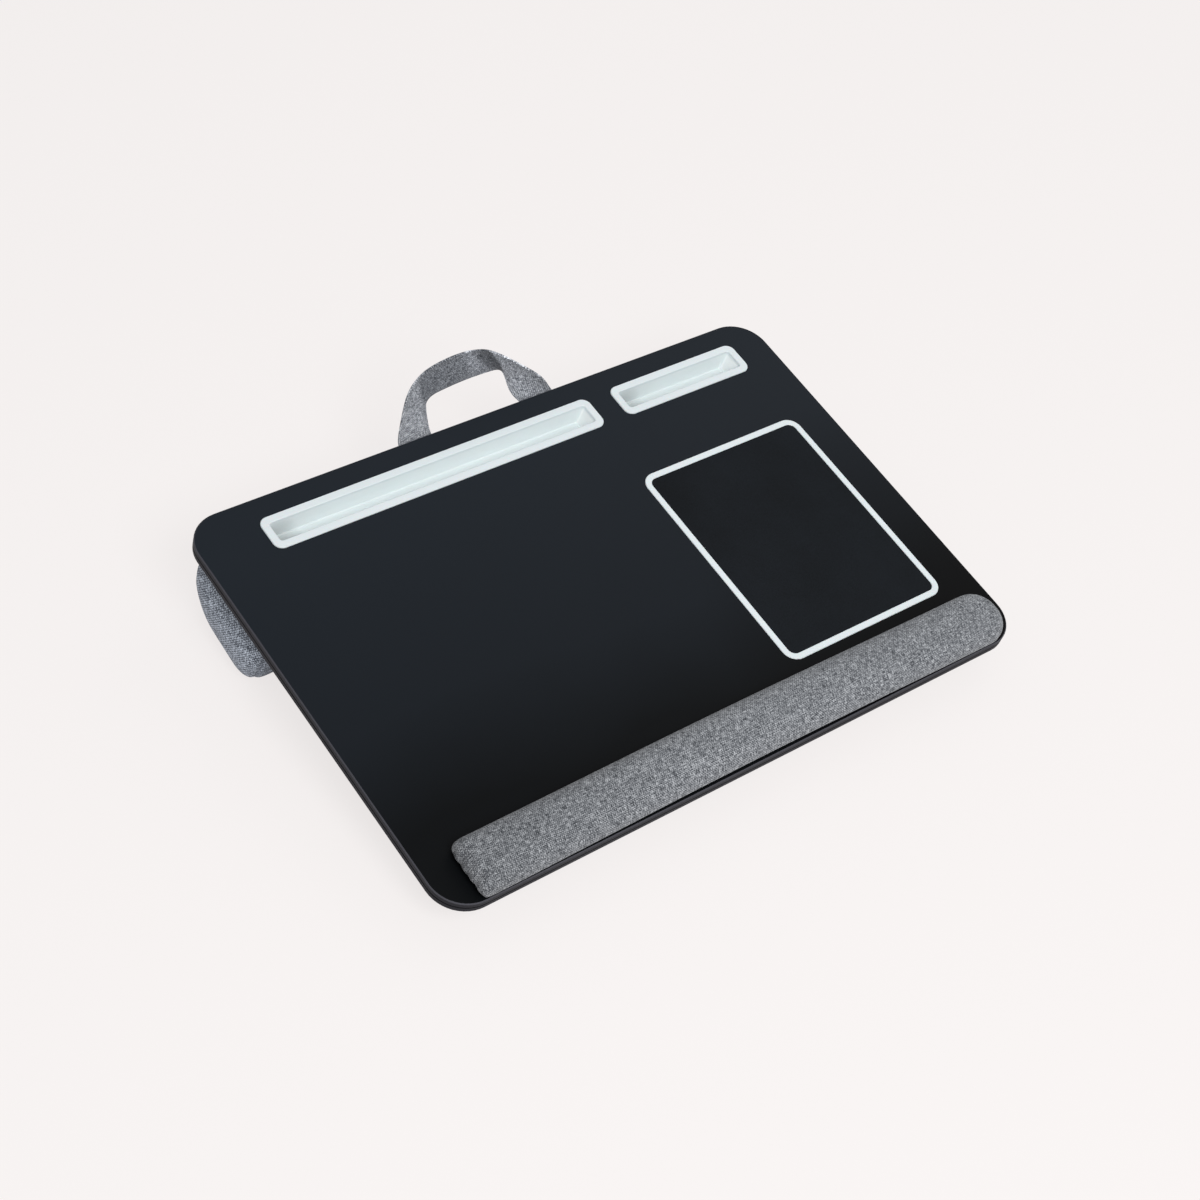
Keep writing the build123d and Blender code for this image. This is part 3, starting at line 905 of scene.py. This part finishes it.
def makeCushion(c):
    shrink = c["shrink"]
    topFront = deckPoint(0, c["front"] + shrink, -underside)
    topRear = deckPoint(0, c["rear"] - shrink, -underside)
    middle = (0, (topFront.y + topRear.y) / 2, topRear.z / 2)
    sizes = (2 * (c["halfLength"] - shrink), topRear.y - topFront.y, topRear.z)
    cushion = addBlock(c["name"], middle, sizes)

    def moveEdge(front, upper, step):  # slide one long edge of the block
        editEdges(cushion, lambda a, b: (
            (a.y < middle[1]) == front and (b.y < middle[1]) == front
            and (a.z > middle[2]) == upper and (b.z > middle[2]) == upper
        ))
        bpy.ops.transform.translate(value=step)
        bpy.ops.object.mode_set(mode="OBJECT")

    moveEdge(True, True, (0, 0, topFront.z - topRear.z))
    moveEdge(True, False, (0, c["frontSlope"], 0))
    moveEdge(False, False, (0, -c["rearSlope"], 0))

    def upright(a, b, front):
        return abs(a.z - b.z) > 5 * mm and abs(a.x - b.x) < mm and (a.y < middle[1]) == front

    def uprightRear(a, b):
        return upright(a, b, False) and min(a.y, b.y) > middle[1] + 20 * mm

    bevelEdges(cushion, lambda a, b: upright(a, b, True), c["frontRound"], 5)
    bevelEdges(cushion, uprightRear, c["rearRound"], 10)
    bevelEdges(cushion, lambda a, b: max(a.z, b.z) < mm, c["baseRound"], 5)
    remeshed(cushion, c["voxel"])

    def held(place):
        below = clamped(belowLining(place) / cushionHold["liningReach"])
        aboveFloor = clamped((place.z - cushionHold["floorGap"]) / cushionHold["floorReach"])
        return below * (cushionHold["footShare"] + (1 - cushionHold["footShare"]) * aboveFloor)

    def frontAt(height):  # where the front face stands at a height
        return topFront.y + c["frontSlope"] * (1 - height / topFront.z)

    blowUp(cushion, c["pressure"], c["cap"], held)
    smoothed(cushion, 3)
    crownEnds(cushion, c, cushionEnds)
    drawIn(cushion, c)
    meetLining(cushion)
    standOnFloor(cushion)
    if c is rearCushion:
        pressTrays(cushion, trayPressing)
    subdivided(cushion, 2)
    sewCorners(cushion, c, frontAt)
    standOnFloor(cushion)
    unwrapByFacing(cushion)
    shadeSmooth(cushion)
    giveMaterial(cushion, cushionWoven)
    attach(cushion, "tray")
    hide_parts(*c["replaces"])


print("cushions")
makeCushion(rearCushion)
makeCushion(frontCushion)

strap = {
    "width": 32 * mm,
    "thickness": 1.7 * mm,
    "halfSpan": 61 * mm,
    "reach": 41.8 * mm,
    "rise": 25 * mm,
    "hinge": (191.3 * mm, -11.4 * mm),
    "tab": 24 * mm,
    "tabShares": (0.35, 1.0),
    "hem": 3.4 * mm,
    "edge": 1.2 * mm,
}
# across, back and up as shares of half the span, the reach and the rise, then turn and lean in degrees
strapStations = [
    (-1.015, 0.00, 0.00, 180, 0),
    (-0.985, 0.19, 0.00, 182, 1),
    (-0.890, 0.43, 0.08, 190, 6),
    (-0.790, 0.65, 0.22, 193, 20),
    (-0.695, 0.82, 0.36, 187, 37),
    (-0.590, 0.92, 0.47, 180, 46),
    (-0.475, 0.98, 0.58, 171, 55),
    (-0.340, 1.00, 0.68, 161, 61),
    (-0.180, 1.00, 0.77, 154, 67),
    (-0.010, 0.99, 0.85, 150, 70),
    (0.155, 0.965, 0.92, 152, 72),
    (0.320, 0.915, 0.98, 164, 71),
    (0.445, 0.86, 1.02, 179, 69),
    (0.540, 0.79, 1.01, 201, 67),
    (0.630, 0.69, 0.94, 231, 65),
    (0.715, 0.565, 0.80, 265, 61),
    (0.805, 0.43, 0.585, 300, 52),
    (0.885, 0.31, 0.32, 331, 35),
    (0.945, 0.18, 0.07, 352, 10),
    (0.990, 0.00, 0.00, 360, 0),
]


def strapRows():  # centre and direction across at each station, tabs first and last
    rows = []
    for across, back, up, turn, lean in strapStations:
        centre = Vector((
            across * strap["halfSpan"],
            strap["hinge"][0] + back * strap["reach"],
            strap["hinge"][1] + up * strap["rise"],
        ))
        turned, leaned = math.radians(turn), math.radians(lean)
        wide = Vector((
            math.cos(leaned) * math.cos(turned),
            math.cos(leaned) * math.sin(turned),
            math.sin(leaned),
        ))
        rows.append((centre, wide))
    (leftEnd, leftWide), (rightEnd, rightWide) = rows[0], rows[-1]
    for share in strap["tabShares"]:  # the tabs run forward under the deck
        forward = Vector((0, strap["tab"] * share, 0))
        rows.insert(0, (leftEnd - forward, leftWide))
        rows.append((rightEnd - forward, rightWide))
    return rows


def makeStrap():
    rows = strapRows()
    half = strap["width"] / 2
    edge = half - strap["edge"]
    hem = half - strap["hem"]
    ribs = [-half, -edge, -hem, -hem / 2, 0, hem / 2, hem, edge, half]
    bpy.ops.object.select_all(action="DESELECT")
    bpy.ops.mesh.primitive_grid_add(x_subdivisions=len(ribs) - 1, y_subdivisions=1, size=1)
    ribbon = freshPiece("carry_strap_cloth")
    bpy.ops.object.mode_set(mode="EDIT")
    mesh = bmesh.from_edit_mesh(ribbon.data)
    low = sorted([v for v in mesh.verts if v.co.y < 0], key=lambda v: v.co.x)
    high = sorted([v for v in mesh.verts if v.co.y > 0], key=lambda v: v.co.x)

    def place(verts, row):
        centre, wide = rows[row]
        for vertex, rib in zip(verts, ribs):
            vertex.co = centre + wide * rib

    place(low, 0)
    place(high, 1)
    bmesh.update_edit_mesh(ribbon.data)
    for row in range(2, len(rows)):  # the latest edge is extruded, then moved to the next row
        bpy.ops.mesh.select_mode(type="VERT")
        bpy.ops.mesh.select_all(action="DESELECT")
        mesh = bmesh.from_edit_mesh(ribbon.data)
        latest = list(mesh.verts)[-len(ribs):] if row > 2 else high
        for vertex in latest:
            vertex.select_set(True)
        mesh.select_flush(True)
        bmesh.update_edit_mesh(ribbon.data)
        bpy.ops.mesh.extrude_edges_move()
        mesh = bmesh.from_edit_mesh(ribbon.data)
        centre, wide = rows[row]
        was = rows[row - 1]
        for vertex in [v for v in mesh.verts if v.select]:
            rib = (vertex.co - was[0]).dot(was[1])
            vertex.co = centre + wide * rib
        bmesh.update_edit_mesh(ribbon.data)
    bpy.ops.object.mode_set(mode="OBJECT")
    lengths = [0.0]
    for (one, _), (two, _) in zip(rows, rows[1:]):
        lengths.append(lengths[-1] + (two - one).length)
    layer = ribbon.data.uv_layers.active or ribbon.data.uv_layers.new(name="UVMap")
    for loop in ribbon.data.loops:  # metres along the band and across it
        spot = ribbon.data.vertices[loop.vertex_index].co
        row = min(range(len(rows)), key=lambda r: abs((spot - rows[r][0]).cross(rows[r][1]).length))
        layer.data[loop.index].uv = (lengths[row], (spot - rows[row][0]).dot(rows[row][1]))
    modified(ribbon, "SOLIDIFY", thickness=strap["thickness"], offset=0)
    subdivided(ribbon, 2)
    layOnDeck(ribbon)
    shadeSmooth(ribbon)
    giveMaterial(ribbon, strapWoven)
    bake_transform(ribbon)
    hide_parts("carry_strap", "strap_tab_left", "strap_tab_right")


print("strap")
makeStrap()

# Stage, light and camera
stage = {
    "floorSize": 12.0,
    "floorDrop": 0.2 * mm,
    "floorColour": rgb(246, 242, 241),
    "shadowShare": 0.15,
    "skyStrength": 0.50,
}
camera = {
    "place": (-0.8869, -0.8800, 1.2529),
    "right": (0.79002, -0.59462, 0.14932),
    "up": (0.34347, 0.63102, 0.69559),
    "forward": (0.50783, 0.49824, -0.70275),
    "lens": 66.055,
    "sensor": 36.0,
    "shift": (-0.000275, 0.000587),
}
lamps = [  # name, place, size, power
    ("key", (-0.45, -1.6, 1.9), 1.3, 41.0),
    ("fill", (1.6, 0.4, 1.6), 1.6, 6.0),
]
lampAim = (0, 0, 0.04)


def seenDirectly(tree):  # 1 for camera, glossy and transmission rays
    path = tree.nodes.new("ShaderNodeLightPath")
    first = tree.nodes.new("ShaderNodeMath")
    first.operation = "MAXIMUM"
    second = tree.nodes.new("ShaderNodeMath")
    second.operation = "MAXIMUM"
    tree.links.new(path.outputs["Is Camera Ray"], first.inputs[0])
    tree.links.new(path.outputs["Is Glossy Ray"], first.inputs[1])
    tree.links.new(first.outputs[0], second.inputs[0])
    tree.links.new(path.outputs["Is Transmission Ray"], second.inputs[1])
    return second.outputs[0]


def makeStage():
    bpy.ops.object.select_all(action="DESELECT")
    bpy.ops.mesh.primitive_plane_add(size=stage["floorSize"], location=(0, 0, -stage["floorDrop"]))
    floor = freshPiece("floor")
    paint = bpy.data.materials.new("paleFloor")
    paint.use_nodes = True
    tree = paint.node_tree
    tree.nodes.clear()
    diffuse = tree.nodes.new("ShaderNodeBsdfDiffuse")
    diffuse.inputs["Color"].default_value = (*stage["floorColour"], 1)
    glow = tree.nodes.new("ShaderNodeEmission")
    glow.inputs["Color"].default_value = (*stage["floorColour"], 1)
    blend = tree.nodes.new("ShaderNodeMixShader")
    share = tree.nodes.new("ShaderNodeMath")
    share.operation = "MULTIPLY"
    share.inputs[1].default_value = 1 - stage["shadowShare"]
    tree.links.new(seenDirectly(tree), share.inputs[0])
    tree.links.new(share.outputs[0], blend.inputs[0])
    tree.links.new(diffuse.outputs[0], blend.inputs[1])
    tree.links.new(glow.outputs[0], blend.inputs[2])
    output = tree.nodes.new("ShaderNodeOutputMaterial")
    tree.links.new(blend.outputs[0], output.inputs[0])
    giveMaterial(floor, paint)

    world = bpy.data.worlds.new("paleRoom")
    bpy.context.scene.world = world
    world.use_nodes = True
    tree = world.node_tree
    tree.nodes.clear()
    soft = tree.nodes.new("ShaderNodeBackground")
    soft.inputs["Color"].default_value = (1, 1, 1, 1)
    soft.inputs["Strength"].default_value = stage["skyStrength"]
    pale = tree.nodes.new("ShaderNodeBackground")
    pale.inputs["Color"].default_value = (*stage["floorColour"], 1)
    far = 1 - stage["shadowShare"] * (1 - stage["skyStrength"])  # as bright as the far floor
    pale.inputs["Strength"].default_value = far
    blend = tree.nodes.new("ShaderNodeMixShader")
    tree.links.new(seenDirectly(tree), blend.inputs[0])
    tree.links.new(soft.outputs[0], blend.inputs[1])
    tree.links.new(pale.outputs[0], blend.inputs[2])
    output = tree.nodes.new("ShaderNodeOutputWorld")
    tree.links.new(blend.outputs[0], output.inputs[0])


def makeLamps():
    for name, place, size, power in lamps:
        bpy.ops.object.light_add(type="AREA", location=place)
        lamp = bpy.context.object
        lamp.name = name
        lamp.data.shape = "DISK"
        lamp.data.size = size
        lamp.data.energy = power
        aim = Vector(lampAim) - Vector(place)
        lamp.rotation_euler = aim.to_track_quat("-Z", "Y").to_euler()


def makeCamera():
    bpy.ops.object.camera_add()
    view = bpy.context.object
    view.name = "camera"
    columns = [Vector(camera["right"]), Vector(camera["up"]), -Vector(camera["forward"])]
    turn = Matrix([[column[row] for column in columns] for row in range(3)]).to_4x4()
    view.matrix_world = Matrix.Translation(camera["place"]) @ turn
    view.data.lens = camera["lens"]
    view.data.shift_x, view.data.shift_y = camera["shift"]
    view.data.sensor_width = camera["sensor"]
    view.data.clip_start = 0.01
    view.data.clip_end = 50.0
    bpy.context.scene.camera = view


print("stage, light and camera")
makeStage()
makeLamps()
makeCamera()
bpy.context.scene.view_settings.view_transform = "Standard"
